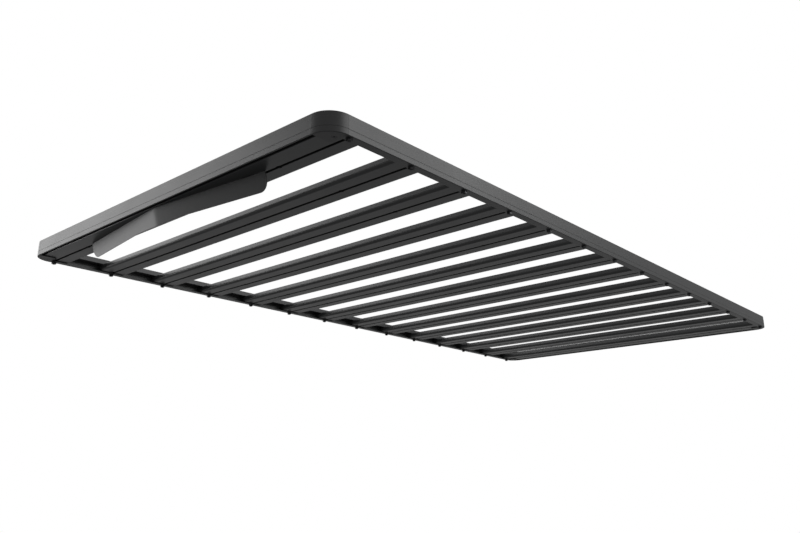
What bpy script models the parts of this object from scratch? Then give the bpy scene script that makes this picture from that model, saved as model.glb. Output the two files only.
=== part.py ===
"""Roof cargo platform: a low perimeter frame, fourteen cross slats and a wind deflector.

Frame: +Z up, -Y towards the front of the vehicle. The origin is at mid length and mid width,
on the underside of the side rails. Lengths are in metres.
"""
from math import atan2, cos, pi, radians, sin

import bmesh
import bpy
from mathutils import Matrix, Vector

MM = 0.001

# Platform
WIDTH = 1425 * MM
SLAT_COUNT = 14
SLAT_PITCH = 202.5 * MM
END_TO_SLOT = 69.75 * MM           # outer face of an end rail to the slot of the slat beside it
LENGTH = (SLAT_COUNT - 1) * SLAT_PITCH + 2 * END_TO_SLOT
GAP = 0.3 * MM                     # between pieces that touch
HOLE_SEGMENTS = 12

# Perimeter rails: an outer wall, a box ledge above the slats, and a foot under them
RAIL_HEIGHT = 50 * MM
RAIL_WALL = 3.5 * MM
RAIL_FOOT_WIDTH = 22.5 * MM
RAIL_FOOT_THICKNESS = 2.5 * MM
LEDGE_WIDTH = 35.5 * MM
LEDGE_THICKNESS = 3 * MM
LEDGE_TOP = 39 * MM
CORNER_RADIUS = 56 * MM
CORNER_STEPS = 11

# Slats: hollow planks with a bolt channel in the underside
SLAT_BOTTOM = RAIL_FOOT_THICKNESS + GAP
SLAT_HEIGHT = 20.5 * MM
SLAT_TOP = SLAT_BOTTOM + SLAT_HEIGHT
LEDGE_BOTTOM = SLAT_TOP + GAP
SLAT_REACH = WIDTH / 2 - RAIL_WALL - 1 * MM    # half length of a slat
CHANNEL_STOP_X = 691.5 * MM        # closes the channel just inside each end bolt
CHANNEL_STOP_LENGTH = 2 * MM
SLAT_AHEAD = 47 * MM               # from the slot's middle to the front edge
SLAT_BEHIND = 47 * MM              # from the slot's middle to the rear edge
END_SLAT_REACH = 53.5 * MM         # from the slot's middle to the outer edge of an end slat
SLAT_WALL = 2 * MM
SLOT_MOUTH = 8.5 * MM
SLOT_LIP = 2.5 * MM
CHANNEL_WIDTH = 14.5 * MM
CHANNEL_DEPTH = 6.5 * MM
SLOT_ENTRY_X = 465 * MM            # where a bolt head can be dropped into the channel
SLOT_ENTRY_RADIUS = 6.75 * MM

# Fasteners
BOLT_X = 700.5 * MM
BOLT_RADIUS = 3.95 * MM
BOLT_HOLE_RADIUS = 4.5 * MM
HEX_ACROSS_FLATS = 13 * MM
HEAD_HEIGHT = 5.3 * MM
NUT_HEIGHT = 4.9 * MM
WASHER_RADIUS = 8 * MM
WASHER_THICKNESS = 1.6 * MM
CORNER_SCREW_X = 683.5 * MM
CORNER_SCREW_FROM_END = 41.3 * MM
CORNER_SCREW_RADIUS = 3 * MM
CORNER_SCREW_HEAD_RADIUS = 6 * MM
CORNER_SCREW_LENGTH = 31 * MM
CORNER_SCREW_SUNK = 0.2 * MM

# Wind deflector: one folded sheet, swept back from its middle and leaning back as it goes down
DEFLECTOR_HALF_WIDTH = 423 * MM
DEFLECTOR_FROM_FRONT = 18 * MM     # front rail's face to the fold, at the top edge
DEFLECTOR_SWEEP = 0.1036           # set back per unit of width
DEFLECTOR_LEAN = 0.31              # set back per unit of drop
DEFLECTOR_TOP = SLAT_BOTTOM - GAP
DEFLECTOR_DROP_MIDDLE = -46 * MM
DEFLECTOR_DROP_KNEE = -40.5 * MM
DEFLECTOR_DROP_END = -43.5 * MM
DEFLECTOR_KNEE_X = 105 * MM
DEFLECTOR_CORNER_RADIUS = 28 * MM
DEFLECTOR_THICKNESS = 2.5 * MM
TAB_HALF_WIDTH = 14 * MM
TAB_X = 350 * MM
TAB_PAST_SLOT = 13 * MM

FRONT = -LENGTH / 2
SIDE = WIDTH / 2


def clear_scene():
    for obj in list(bpy.data.objects):
        bpy.data.objects.remove(obj)


def new_collection(name):
    collection = bpy.data.collections.new(name)
    bpy.context.scene.collection.children.link(collection)
    return collection


def new_material(name, colour, roughness, metallic):
    material = bpy.data.materials.new(name)
    material.use_nodes = True
    shader = material.node_tree.nodes["Principled BSDF"]
    shader.inputs["Base Color"].default_value = (*colour, 1)
    shader.inputs["Roughness"].default_value = roughness
    shader.inputs["Metallic"].default_value = metallic
    return material


def place(name, mesh, collection, location=(0, 0, 0), rotation=(0, 0, 0)):
    """Link an object that shows a mesh, as the platform's piece or as a cutter."""
    obj = bpy.data.objects.new(name, mesh)
    obj.location = location
    obj.rotation_euler = rotation
    collection.objects.link(obj)
    return obj


def place_cutter(name, mesh, location=(0, 0, 0), rotation=(0, 0, 0)):
    cutter = place(name, mesh, cutters, location, rotation)
    cutter.hide_render = True
    cutter.display_type = "WIRE"
    return cutter


def add_boolean(obj, operand, operation):
    modifier = obj.modifiers.new(operand.name, "BOOLEAN")
    modifier.object = operand
    modifier.operation = operation


def evaluated_mesh(obj):
    """The mesh of an object with its modifiers applied. The object itself is removed."""
    bpy.context.view_layer.update()
    graph = bpy.context.evaluated_depsgraph_get()
    mesh = bpy.data.meshes.new_from_object(obj.evaluated_get(graph))
    bpy.data.objects.remove(obj)
    return mesh


def shade(mesh):
    mesh.shade_smooth()
    mesh.set_sharp_from_angle(angle=radians(32))


def mirrored(mesh, x=1, y=1):
    """A mirror image of a mesh across the platform's middle planes."""
    copy = mesh.copy()
    copy.transform(Matrix.Diagonal((x, y, 1, 1)))
    if x * y < 0:
        copy.flip_normals()
    return copy


def arc(centre, radius, start, end, steps):
    """Points of an arc in a section, from one angle in degrees to the other."""
    angles = [radians(start + (end - start) * i / steps) for i in range(steps + 1)]
    return [(centre[0] + radius * cos(a), centre[1] + radius * sin(a)) for a in angles]


def extrusion(name, loops, length):
    """A prism along its own Z, centred on it, whose section is the first loop less the others."""
    outline = bpy.data.curves.new(name, "CURVE")
    outline.dimensions = "2D"
    outline.fill_mode = "BOTH"
    outline.extrude = length / 2
    for loop in loops:
        spline = outline.splines.new("POLY")
        spline.points.add(len(loop) - 1)
        for point, (u, v) in zip(spline.points, loop):
            point.co = (u, v, 0, 1)
        spline.use_cyclic_u = True
    mesh = evaluated_mesh(place(name, outline, cutters))
    shell = bmesh.new()
    shell.from_mesh(mesh)
    bmesh.ops.remove_doubles(shell, verts=shell.verts, dist=0.01 * MM)
    bmesh.ops.recalc_face_normals(shell, faces=shell.faces)
    shell.to_mesh(mesh)
    shell.free()
    return mesh


def cylinder(name, radius, bottom, top, segments=HOLE_SEGMENTS, top_radius=None, centres=((0, 0),),
             turn=0):
    """Upright cylinders, cones or prisms of one height, one at each centre."""
    shell = bmesh.new()
    for x, y in centres:
        spot = Matrix.Translation((x, y, (bottom + top) / 2)) @ Matrix.Rotation(turn, 4, "Z")
        bmesh.ops.create_cone(shell, cap_ends=True, segments=segments, radius1=radius,
                              radius2=radius if top_radius is None else top_radius,
                              depth=top - bottom, matrix=spot)
    mesh = bpy.data.meshes.new(name)
    shell.to_mesh(mesh)
    shell.free()
    return mesh


def block(name, low, high):
    shell = bmesh.new()
    bmesh.ops.create_cube(shell, size=1)
    low, high = Vector(low), Vector(high)
    for vertex in shell.verts:
        vertex.co = [a + (b - a) * (c + 0.5) for a, b, c in zip(low, high, vertex.co)]
    mesh = bpy.data.meshes.new(name)
    shell.to_mesh(mesh)
    shell.free()
    return mesh


def fused(name, meshes):
    """One closed mesh from overlapping ones."""
    body, *others = [place(name, mesh, cutters) for mesh in meshes]
    for other in others:
        add_boolean(body, other, "UNION")
    mesh = evaluated_mesh(body)
    for other in others:
        bpy.data.objects.remove(other)
    return mesh


def rail_outer_face():
    """The outer face's line, from its bottom edge to its top: (distance inwards, height)."""
    bead, lip, groove = 2 * MM, 1.5 * MM, 0.8 * MM
    step, step_height = 0.4 * MM, 36.7 * MM
    groove_bottom, groove_top = 12.6 * MM, 15.6 * MM
    return [*arc((bead, bead), bead, 270, 180, 4),
            (0, groove_bottom), (groove, groove_bottom + groove), (groove, groove_top - groove),
            (0, groove_top), (0, step_height), (step, step_height + step),
            *arc((step + lip, RAIL_HEIGHT - lip), lip, 180, 90, 3)]


def rail_section(foot_width):
    """Outline of a rail's section, with a foot under the slats where it has one."""
    inner_edge = 1 * MM
    ledge = [(RAIL_WALL, RAIL_HEIGHT), (RAIL_WALL, LEDGE_TOP),
             *arc((LEDGE_WIDTH - inner_edge, LEDGE_TOP - inner_edge), inner_edge, 90, 0, 2),
             (LEDGE_WIDTH, LEDGE_BOTTOM), (RAIL_WALL, LEDGE_BOTTOM)]
    if not foot_width:
        return rail_outer_face() + ledge + [(RAIL_WALL, 0)]
    foot = [(RAIL_WALL, RAIL_FOOT_THICKNESS), (foot_width, RAIL_FOOT_THICKNESS), (foot_width, 0)]
    return rail_outer_face() + ledge + foot


def ledge_hollow():
    low, high = LEDGE_BOTTOM + LEDGE_THICKNESS, LEDGE_TOP - LEDGE_THICKNESS
    inner = LEDGE_WIDTH - LEDGE_THICKNESS
    return [(RAIL_WALL, low), (inner, low), (inner, high), (RAIL_WALL, high)]


def slot_lines():
    """Y of every slat's slot, from front to rear."""
    return [FRONT + END_TO_SLOT + i * SLAT_PITCH for i in range(SLAT_COUNT)]


def side_rail(name, side):
    length = LENGTH - 2 * (CORNER_RADIUS + GAP)
    mesh = extrusion(name, [rail_section(RAIL_FOOT_WIDTH), ledge_hollow()], length)
    rail = place(name, mesh, platform, (side * SIDE, 0, 0), (pi / 2, 0, pi if side > 0 else 0))
    holes = cylinder(name + "_bolt_holes", BOLT_HOLE_RADIUS, -1 * MM, RAIL_FOOT_THICKNESS + 1 * MM,
                     centres=[(side * BOLT_X, y) for y in slot_lines()])
    add_boolean(rail, place_cutter(name + "_bolt_holes", holes), "DIFFERENCE")
    return rail


def end_rail(name, end):
    length = WIDTH - 2 * (CORNER_RADIUS + GAP)
    mesh = extrusion(name, [rail_section(0), ledge_hollow()], length)
    return place(name, mesh, platform, (0, -end * FRONT, 0), (pi / 2, 0, -end * pi / 2))


def corner_sweep():
    """The rail's section swept a quarter turn, with its foot run in to the middle of the turn."""
    centre = Vector((SIDE - CORNER_RADIUS, FRONT + CORNER_RADIUS, 0))
    foot_reach = CORNER_RADIUS - 3 * MM
    shell = bmesh.new()
    ring = [shell.verts.new(centre + Vector((0, inwards - CORNER_RADIUS, height)))
            for inwards, height in rail_section(foot_reach)]
    face = shell.faces.new(ring)
    bmesh.ops.spin(shell, geom=[face, *face.edges, *face.verts], cent=centre, axis=(0, 0, 1),
                   angle=pi / 2, steps=CORNER_STEPS)
    bmesh.ops.recalc_face_normals(shell, faces=shell.faces)
    mesh = bpy.data.meshes.new("corner_sweep")
    shell.to_mesh(mesh)
    shell.free()
    return mesh


def corner_mesh():
    """The front right corner piece: the sweep, a spigot into each rail, and its screw's hole."""
    reach, root = 36 * MM, 8 * MM
    (near, low), _, (far, high), _ = ledge_hollow()
    near, far, low, high = near + GAP, far - GAP, low + GAP, high - GAP
    middle_x, middle_y = SIDE - CORNER_RADIUS, FRONT + CORNER_RADIUS
    to_front_rail = block("spigot_x", (middle_x - reach, FRONT + near, low),
                          (middle_x + root, FRONT + far, high))
    to_side_rail = block("spigot_y", (SIDE - far, middle_y - root, low),
                         (SIDE - near, middle_y + reach, high))
    corner = place("corner", corner_sweep(), cutters)
    for mesh in (to_front_rail, to_side_rail):
        add_boolean(corner, place_cutter(mesh.name, mesh), "UNION")
    add_boolean(corner, place_cutter("corner_screw_hole", corner_screw_mesh(GAP)), "DIFFERENCE")
    return evaluated_mesh(corner)


def corner_screw_mesh(margin):
    """A countersunk screw, or with a margin the hole for it, which opens downwards."""
    spot, turn = [(CORNER_SCREW_X, FRONT + CORNER_SCREW_FROM_END)], radians(7)
    radius, head_radius = CORNER_SCREW_RADIUS + margin, CORNER_SCREW_HEAD_RADIUS + 4 * margin
    bottom = CORNER_SCREW_SUNK - 4 * margin
    neck = bottom + head_radius - radius + margin
    head = cylinder("screw_head", head_radius, bottom, neck, top_radius=radius, centres=spot,
                    segments=16, turn=turn)
    shank = cylinder("screw_shank", radius, (bottom + neck) / 2, CORNER_SCREW_LENGTH + margin,
                     centres=spot, turn=turn)
    return fused("corner_screw", [head, shank])


def slat_section(ahead, nose_radius):
    """A slat's section across the platform: (along Y from the slot's middle, height)."""
    behind, height = SLAT_BEHIND, SLAT_HEIGHT
    mouth, channel = SLOT_MOUTH / 2, CHANNEL_WIDTH / 2
    channel_top = SLOT_LIP + CHANNEL_DEPTH
    heel_radius, top_radius = 9 * MM, 3 * MM
    outline = [(-mouth, 0), (-mouth, SLOT_LIP), (-channel, SLOT_LIP), (-channel, channel_top),
               (channel, channel_top), (channel, SLOT_LIP), (mouth, SLOT_LIP), (mouth, 0)]
    outline += arc((behind - heel_radius, heel_radius), heel_radius, 270, 360, 5)
    outline += arc((behind - top_radius, height - top_radius), top_radius, 0, 90, 3)
    outline += top_grooves()
    outline += arc((top_radius - ahead, height - top_radius), top_radius, 90, 180, 3)
    outline += arc((nose_radius - ahead, nose_radius), nose_radius, 180, 270, 5)
    return outline


def top_grooves():
    """Grip grooves along a slat's upper face: a wide one over the channel, narrow ones beside it."""
    narrow, wide, depth = 3 * MM, 9 * MM, 1.2 * MM
    line = []
    for middle in (36 * MM, 26 * MM, 16 * MM, 0, -16 * MM, -26 * MM, -36 * MM):
        half = (wide if middle == 0 else narrow) / 2
        floor = SLAT_HEIGHT - (2 * depth if middle == 0 else depth)
        line += [(middle + half, SLAT_HEIGHT), (middle + half, floor),
                 (middle - half, floor), (middle - half, SLAT_HEIGHT)]
    return line


def slat_chambers(ahead):
    """The two hollows of a slat, ahead of and behind its channel."""
    low, high = SLAT_WALL, SLAT_HEIGHT - 2 * SLAT_WALL
    beside = CHANNEL_WIDTH / 2 + SLAT_WALL
    front, rear = -ahead + SLAT_WALL, SLAT_BEHIND - SLAT_WALL
    slope, nose = 0.6 * MM, 4 * MM
    front_hollow = [(front, high), (front, low + nose), (front + nose, low), (-beside, low),
                    (-beside, high - slope)]
    rear_hollow = [(beside, high - slope), (beside, low + slope), (rear - nose, low + slope / 2),
                   (rear, low + nose), (rear, high + slope / 2)]
    return [front_hollow, rear_hollow]


def slat_mesh(name, ahead, nose_radius):
    """A slat, with a stop pressed into its channel beside each end bolt."""
    loops = [slat_section(ahead, nose_radius), *slat_chambers(ahead)]
    plank = extrusion("plank", loops, 2 * SLAT_REACH)
    overlap = 1 * MM
    half_width, high = CHANNEL_WIDTH / 2 + overlap, SLOT_LIP + CHANNEL_DEPTH + overlap
    low, half_length = SLOT_LIP - 2 * MM, CHANNEL_STOP_LENGTH / 2
    stops = [block("channel_stop", (-half_width, low, x - half_length),
                   (half_width, high, x + half_length)) for x in (-CHANNEL_STOP_X, CHANNEL_STOP_X)]
    return fused(name, [plank, *stops])


def add_slot_entries(slat, y):
    """Round bolt entries through the lips of a slat's channel."""
    holes = cylinder("slot_entries", SLOT_ENTRY_RADIUS, SLAT_BOTTOM - 1 * MM,
                     SLAT_BOTTOM + SLOT_LIP + 1 * MM, centres=((-SLOT_ENTRY_X, y), (SLOT_ENTRY_X, y)))
    add_boolean(slat, place_cutter(slat.name + "_slot_entries", holes), "DIFFERENCE")


def end_slat_mesh():
    """The front slat, with its outer corners cut off to clear the corner pieces' walls."""
    y = slot_lines()[0]
    slat = place("end_slat", slat_mesh("end_slat", END_SLAT_REACH, 1.5 * MM), platform,
                 (0, y, SLAT_BOTTOM), (pi / 2, 0, pi / 2))
    trim_start = (25 * MM, 14 * MM)        # in from the side and from the front
    trim_end = (4 * MM, 52 * MM)
    size = 30 * MM
    wedge = block("end_slat_trim", (-size, -size, 0), (size, size, RAIL_HEIGHT))
    for side in (-1, 1):
        inner, outer = [Vector((side * (SIDE - from_side), FRONT + from_front))
                        for from_side, from_front in (trim_start, trim_end)]
        along = outer - inner
        outwards = Vector((side * along.y, -side * along.x)).normalized()
        middle = (inner + outer) / 2 + outwards * size
        trim = place_cutter("end_slat_trim", wedge, (*middle, 0), (0, 0, atan2(along.y, along.x)))
        add_boolean(slat, trim, "DIFFERENCE")
        screw = mirrored(corner_screw_mesh(GAP), x=side)
        add_boolean(slat, place_cutter("end_slat_screw_hole", screw), "DIFFERENCE")
    add_slot_entries(slat, y)
    bpy.context.view_layer.update()
    matrix = slat.matrix_world.copy()
    mesh = evaluated_mesh(slat)
    mesh.transform(matrix)
    return mesh


def bolt_mesh(name, washer_top):
    """A hex bolt hung in a slat's channel, with its washer and nut below, around its own axis."""
    corner = HEX_ACROSS_FLATS / 2 / cos(pi / 6)
    overlap = 0.5 * MM
    head_bottom = SLAT_BOTTOM + SLOT_LIP + GAP
    nut_top = washer_top - WASHER_THICKNESS
    nut_bottom = nut_top - NUT_HEIGHT
    head = cylinder("head", corner, head_bottom, head_bottom + HEAD_HEIGHT, segments=6, turn=pi / 6)
    shank = cylinder("shank", BOLT_RADIUS, nut_bottom - overlap, head_bottom + overlap, segments=8)
    washer = cylinder("washer", WASHER_RADIUS, nut_top, washer_top, segments=12)
    nut = cylinder("nut", corner, nut_bottom, nut_top + overlap, segments=6)
    return fused(name, [head, shank, washer, nut])


def deflector_point(x, height):
    """A point on the front face of the deflector's right wing."""
    y = FRONT + DEFLECTOR_FROM_FRONT + DEFLECTOR_SWEEP * x + DEFLECTOR_LEAN * (DEFLECTOR_TOP - height)
    return Vector((x, y, height))


def wing_mesh():
    """The deflector's right wing, a flat plate that runs a little past the fold."""
    fold, radius, past = deflector_point(0, DEFLECTOR_TOP), DEFLECTOR_CORNER_RADIUS, -6 * MM
    top = DEFLECTOR_TOP - DEFLECTOR_THICKNESS * DEFLECTOR_LEAN
    slope = (DEFLECTOR_DROP_KNEE - DEFLECTOR_DROP_MIDDLE) / DEFLECTOR_KNEE_X
    end = DEFLECTOR_HALF_WIDTH
    outline = [(past, top), (past, DEFLECTOR_DROP_MIDDLE + slope * past),
               (DEFLECTOR_KNEE_X, DEFLECTOR_DROP_KNEE),
               *arc((end - radius, DEFLECTOR_DROP_END + radius), radius, 270, 360, 6), (end, top)]
    across = (deflector_point(1, 0) - deflector_point(0, 0)).normalized()
    forwards = across.cross(deflector_point(0, 1) - deflector_point(0, 0)).normalized()
    upwards = forwards.cross(across)
    points = [deflector_point(x, height) - fold for x, height in outline]
    loop = [(point.dot(across), point.dot(upwards)) for point in points]
    plate = extrusion("wing", [loop], DEFLECTOR_THICKNESS)
    turn = Matrix((across, upwards, forwards)).transposed().to_4x4()
    plate.transform(Matrix.Translation(fold - forwards * DEFLECTOR_THICKNESS / 2) @ turn)
    return plate


def tab_mesh(low_x, high_x):
    """A tab folded back from the wing's top edge, flat under the front slat."""
    end = FRONT + END_TO_SLOT + TAB_PAST_SLOT
    height = DEFLECTOR_TOP - DEFLECTOR_THICKNESS / 2
    roots = [(x, deflector_point(x, height).y + DEFLECTOR_THICKNESS / 2) for x in (low_x, high_x)]
    tab = extrusion("tab", [[*roots, (high_x, end), (low_x, end)]], DEFLECTOR_THICKNESS)
    tab.transform(Matrix.Translation((0, 0, height)))
    return tab


def wind_deflector():
    tabs = [tab_mesh(-5 * MM, TAB_HALF_WIDTH),
            tab_mesh(TAB_X - TAB_HALF_WIDTH, TAB_X + TAB_HALF_WIDTH)]
    deflector = place("wind_deflector", fused("wind_deflector", [wing_mesh(), *tabs]), platform)
    mirror = deflector.modifiers.new("mirror", "MIRROR")
    mirror.use_bisect_axis[0] = True
    mirror.merge_threshold = 0.01 * MM
    spots = [(x, FRONT + END_TO_SLOT) for x in (-TAB_X, 0, TAB_X)]
    holes = cylinder("tab_holes", BOLT_HOLE_RADIUS, -2 * MM, 10 * MM, centres=spots)
    add_boolean(deflector, place_cutter("tab_holes", holes), "DIFFERENCE")
    return deflector


clear_scene()
platform = new_collection("roof_cargo_platform")
cutters = new_collection("cutters")

rail_coat = new_material("rail_coat", (0.028, 0.029, 0.030), 0.42, 0)
slat_coat = new_material("slat_coat", (0.024, 0.025, 0.026), 0.42, 0)
corner_coat = new_material("corner_coat", (0.020, 0.020, 0.021), 0.55, 0)
deflector_coat = new_material("deflector_coat", (0.030, 0.031, 0.032), 0.45, 0)
fastener_steel = new_material("fastener_steel", (0.035, 0.035, 0.036), 0.35, 1)

slots = slot_lines()
for rail in (side_rail("side_rail_left", -1), side_rail("side_rail_right", 1),
             end_rail("front_rail", -1), end_rail("rear_rail", 1)):
    rail.data.materials.append(rail_coat)

corner = corner_mesh()
screw = corner_screw_mesh(0)
for end, y_sign in (("front", 1), ("rear", -1)):
    for hand, x_sign in (("right", 1), ("left", -1)):
        piece = place(f"corner_{end}_{hand}", mirrored(corner, x_sign, y_sign), platform)
        piece.data.materials.append(corner_coat)
        fixing = place(f"corner_screw_{end}_{hand}", mirrored(screw, x_sign, y_sign), platform)
        fixing.data.materials.append(fastener_steel)

end_slat = end_slat_mesh()
inner_slat = slat_mesh("inner_slat", SLAT_AHEAD, 9 * MM)
inner_slat.materials.append(slat_coat)
for number, y in enumerate(slots, 1):
    name = f"slat_{number:02d}"
    if number in (1, SLAT_COUNT):
        slat = place(name, mirrored(end_slat, y=1 if number == 1 else -1), platform)
        slat.data.materials.append(slat_coat)
    else:
        slat = place(name, inner_slat, platform, (0, y, SLAT_BOTTOM), (pi / 2, 0, pi / 2))
        add_slot_entries(slat, y)

slat_bolt = bolt_mesh("slat_bolt", -GAP)
slat_bolt.materials.append(fastener_steel)
for number, y in enumerate(slots, 1):
    for hand, x in (("left", -BOLT_X), ("right", BOLT_X)):
        place(f"slat_bolt_{number:02d}_{hand}", slat_bolt, platform, (x, y, 0))

wind_deflector().data.materials.append(deflector_coat)
tab_bolt = bolt_mesh("deflector_bolt", DEFLECTOR_TOP - DEFLECTOR_THICKNESS - GAP)
tab_bolt.materials.append(fastener_steel)
for hand, x in (("left", -TAB_X), ("middle", 0), ("right", TAB_X)):
    place(f"deflector_bolt_{hand}", tab_bolt, platform, (x, slots[0], 0))

for obj in platform.objects:
    shade(obj.data)
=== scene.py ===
"""Looks of a roof cargo platform: satin black aluminium rails, slats, corners and a deflector."""
from math import ceil, cos, pi, radians, sin, sqrt, tan

import bmesh
import bpy
from mathutils import Matrix, Vector


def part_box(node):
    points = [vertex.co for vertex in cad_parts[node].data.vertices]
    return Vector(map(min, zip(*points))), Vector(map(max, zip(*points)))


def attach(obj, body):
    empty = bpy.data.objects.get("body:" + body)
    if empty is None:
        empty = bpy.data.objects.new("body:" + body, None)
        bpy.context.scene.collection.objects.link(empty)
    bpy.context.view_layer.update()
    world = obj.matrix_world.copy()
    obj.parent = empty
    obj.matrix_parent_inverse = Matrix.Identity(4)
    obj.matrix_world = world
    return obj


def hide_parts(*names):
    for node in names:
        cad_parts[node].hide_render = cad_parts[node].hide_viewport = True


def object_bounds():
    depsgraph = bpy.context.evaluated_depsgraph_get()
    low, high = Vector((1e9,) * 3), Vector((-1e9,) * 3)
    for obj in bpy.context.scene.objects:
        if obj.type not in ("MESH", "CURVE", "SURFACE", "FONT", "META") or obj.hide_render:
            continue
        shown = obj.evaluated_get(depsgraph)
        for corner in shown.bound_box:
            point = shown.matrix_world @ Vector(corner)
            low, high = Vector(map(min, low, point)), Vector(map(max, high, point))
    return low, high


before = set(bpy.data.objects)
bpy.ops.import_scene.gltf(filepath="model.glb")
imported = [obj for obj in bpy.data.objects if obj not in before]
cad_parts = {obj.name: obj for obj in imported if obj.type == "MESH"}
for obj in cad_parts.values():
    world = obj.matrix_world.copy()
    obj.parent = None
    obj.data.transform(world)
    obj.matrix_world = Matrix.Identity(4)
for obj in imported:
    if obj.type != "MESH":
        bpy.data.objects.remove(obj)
cad_low, cad_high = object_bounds()
MM = 0.001


# Studio. The platform hangs level in the air. The camera stands low, ahead of its right corner,
# and looks up at the underside. Large soft panels light it from the left, the right and above,
# and a pale floor lies well below.
def add_node(tree, kind, feeds=None, **settings):
    """A node with its settings. feeds gives each named socket a value or the socket it reads."""
    node = tree.nodes.new(kind)
    for name, value in settings.items():
        setattr(node, name, value)
    for socket, value in (feeds or {}).items():
        if isinstance(value, bpy.types.NodeSocket):
            tree.links.new(value, node.inputs[socket])
        else:
            node.inputs[socket].default_value = value
    return node


def soft_panel(name, place, aim, width, height, radiance):
    """A rectangular light that faces a point and stays out of the camera's sight."""
    light = bpy.data.lights.new(name, "AREA")
    light.shape = "RECTANGLE"
    light.size, light.size_y = width, height
    light.energy = radiance * pi * width * height
    panel = bpy.data.objects.new(name, light)
    panel.location = place
    panel.rotation_mode = "QUATERNION"
    panel.rotation_quaternion = (Vector(aim) - Vector(place)).to_track_quat("-Z", "Y")
    panel.visible_camera = False
    bpy.context.scene.collection.objects.link(panel)


camera_azimuth, camera_elevation, camera_roll = radians(42.07), radians(-16.25), radians(0.13)
camera_back = Vector((sin(camera_azimuth) * cos(camera_elevation),
                      -cos(camera_azimuth) * cos(camera_elevation), sin(camera_elevation)))
camera = bpy.data.objects.new("camera", bpy.data.cameras.new("camera"))
camera.location = (1.7974, -2.3674, -0.7277)
camera.rotation_mode = "QUATERNION"
camera.rotation_quaternion = ((-camera_back).to_track_quat("-Z", "Y").to_matrix()
                              @ Matrix.Rotation(camera_roll, 3, "Z")).to_quaternion()
camera.data.lens = 34.65
bpy.context.scene.collection.objects.link(camera)
bpy.context.scene.camera = camera
bpy.context.scene.view_settings.view_transform = "Standard"

soft_panel("left_panel", (-4.54, -2.8, 1.0), (0, -0.8, 0), 4.1, 3.8, 2.35)
soft_panel("right_panel", (4.1, 1.4, 2.1), (0.7, -0.6, 0), 4.2, 2.6, 2.3)
soft_panel("top_panel", (0, 0.4, 4.2), (0, 0, 0), 3.4, 4.0, 0.9)

room = bpy.data.worlds.new("room")
room.use_nodes = True
room.node_tree.nodes.clear()
direction = add_node(room.node_tree, "ShaderNodeTexCoord").outputs["Generated"]
height = add_node(room.node_tree, "ShaderNodeSeparateXYZ", {0: direction}).outputs["Z"]
wall_tone = add_node(room.node_tree, "ShaderNodeMapRange",
                     {"Value": height, "From Min": -0.45, "From Max": -0.1,
                      "To Min": 0.2, "To Max": 0.4}).outputs["Result"]
walls = add_node(room.node_tree, "ShaderNodeBackground", {"Color": wall_tone})
backdrop = add_node(room.node_tree, "ShaderNodeBackground", {"Color": (1, 1, 1, 1)})
seen = add_node(room.node_tree, "ShaderNodeLightPath").outputs["Is Camera Ray"]
room_mix = add_node(room.node_tree, "ShaderNodeMixShader",
                    {0: seen, 1: walls.outputs[0], 2: backdrop.outputs[0]})
add_node(room.node_tree, "ShaderNodeOutputWorld", {"Surface": room_mix.outputs[0]})
bpy.context.scene.world = room

floor_half_width, floor_drop = 24, 2.6
floor_mesh = bpy.data.meshes.new("floor")
floor_mesh.from_pydata([(x * floor_half_width, y * floor_half_width, -floor_drop)
                        for x, y in ((-1, -1), (1, -1), (1, 1), (-1, 1))], [], [(0, 1, 2, 3)])
floor = bpy.data.objects.new("floor", floor_mesh)
floor.visible_glossy = floor.visible_diffuse = False
bpy.context.scene.collection.objects.link(floor)
floor_paint = bpy.data.materials.new("pale_floor")
floor_paint.use_nodes = True
floor_shader = floor_paint.node_tree.nodes["Principled BSDF"]
floor_shader.inputs["Base Color"].default_value = (0.9, 0.9, 0.9, 1)
floor_shader.inputs["Roughness"].default_value = 0.8
floor_shader.inputs["Emission Color"].default_value = (1, 1, 1, 1)
floor_shader.inputs["Emission Strength"].default_value = 0.5
floor_mesh.materials.append(floor_paint)


# Rails. Four extruded aluminium lengths make the rim: an outer wall with a bead and a groove
# along it, a ledge over the slats' ends and, on the two side rails, a drilled foot under them.
# They are sawn square and powder coated satin black, with the die's fine lines just visible.
def new_texture_group(name, inputs, outputs):
    """An empty shader group with named number inputs; outputs give each name its socket type."""
    group = bpy.data.node_groups.new(name, "ShaderNodeTree")
    for label in inputs:
        group.interface.new_socket(name=label, in_out="INPUT", socket_type="NodeSocketFloat")
    for label, kind in outputs.items():
        group.interface.new_socket(name=label, in_out="OUTPUT", socket_type="NodeSocket" + kind)
    return group


def number(tree, operation, first, second):
    """What a Math node makes of two numbers or sockets."""
    return add_node(tree, "ShaderNodeMath", {0: first, 1: second}, operation=operation).outputs[0]


# The coat's skin: fine orange peel, broad patches where it was sprayed thicker, and dust on top.
coat_skin = new_texture_group("coat_skin", ["Peel Per Metre", "Patches Per Metre"],
                              {"Peel": "Float", "Patches": "Float", "Dust": "Float"})
asked = add_node(coat_skin, "NodeGroupInput").outputs
place = add_node(coat_skin, "ShaderNodeTexCoord").outputs["Object"]
peel = add_node(coat_skin, "ShaderNodeTexNoise",
                {"Vector": place, "Scale": asked["Peel Per Metre"], "Detail": 2, "Roughness": 0.6})
patches = add_node(coat_skin, "ShaderNodeTexNoise",
                   {"Vector": place, "Scale": asked["Patches Per Metre"], "Detail": 4})
specks = add_node(coat_skin, "ShaderNodeTexNoise", {"Vector": place, "Scale": 240, "Detail": 3})
facing = add_node(coat_skin, "ShaderNodeNewGeometry").outputs["Normal"]
upwards = add_node(coat_skin, "ShaderNodeSeparateXYZ", {0: facing}).outputs["Z"]
lying = add_node(coat_skin, "ShaderNodeMapRange",
                 {"Value": upwards, "From Min": 0.7, "From Max": 1}).outputs["Result"]
settled = add_node(coat_skin, "ShaderNodeMapRange",
                   {"Value": specks.outputs["Fac"], "From Min": 0.45,
                    "From Max": 0.8}).outputs["Result"]
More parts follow.
